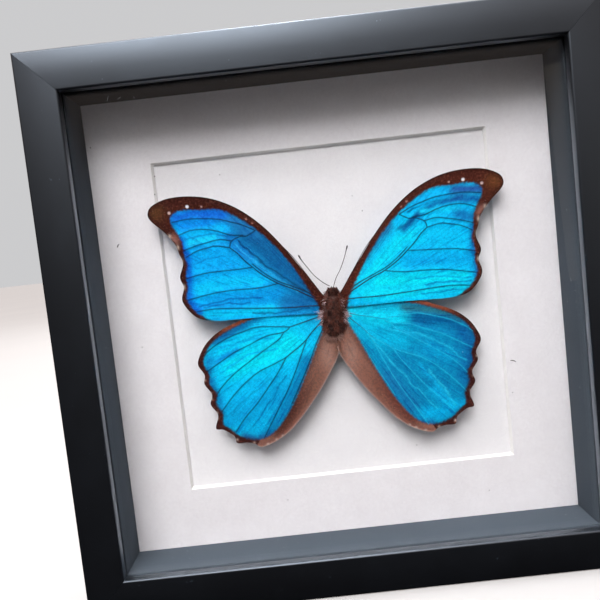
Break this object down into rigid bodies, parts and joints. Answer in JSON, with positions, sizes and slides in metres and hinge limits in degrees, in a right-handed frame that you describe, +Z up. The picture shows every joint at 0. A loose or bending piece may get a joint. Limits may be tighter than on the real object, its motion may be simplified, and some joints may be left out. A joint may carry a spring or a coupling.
{
  "type": "framed butterfly specimen",
  "caption": "Blue butterfly specimen with spread wings, set behind glass and a white window mat in a deep square black box frame.",
  "frame": {"origin": "middle of the bottom of the frame, on the surface it stands on", "axes": "+X to the right of someone who looks at the glass, +Y from the glass to the back, +Z up the frame"},
  "size_m": [0.23, 0.0421, 0.23],
  "materials": {
    "black_wood": "black satin lacquer",
    "slate": "painted dark slate, matt",
    "clear_glass": "clear, a little dusty",
    "mat_white": "fine texture, matt",
    "card_white": "matt",
    "hardboard": "pressed fibre, bare",
    "steel": "bright, stamped",
    "brass": "brass plated",
    "insect_body": "furry, dark reddish brown",
    "glue": "dried glue",
    "wing": "iridescent blue scales with a brown edge"
  },
  "bodies": {
    "root": {"frame_rail_top": "black_wood", "spacer_strip_top": "slate", "retaining_tab_top_1": "steel", "retaining_tab_top_2": "steel", "frame_rail_right": "black_wood", "spacer_strip_right": "slate", "retaining_tab_right_1": "steel", "retaining_tab_right_2": "steel", "frame_rail_bottom": "black_wood", "spacer_strip_bottom": "slate", "retaining_tab_bottom_1": "steel", "retaining_tab_bottom_2": "steel", "frame_rail_left": "black_wood", "spacer_strip_left": "slate", "retaining_tab_left_1": "steel", "retaining_tab_left_2": "steel", "glass_pane": "clear_glass", "mat_board": "mat_white", "backing_card": "card_white", "back_panel": "hardboard", "sawtooth_hanger": "brass", "hanger_nail_left": "brass", "hanger_nail_right": "brass", "butterfly_body": "insect_body", "glue_dab": "glue", "antenna_left": "insect_body", "antenna_right": "insect_body", "forewing_left": "wing", "forewing_right": "wing", "hindwing_left": "wing", "hindwing_right": "wing"}
  },
  "joints": []
}
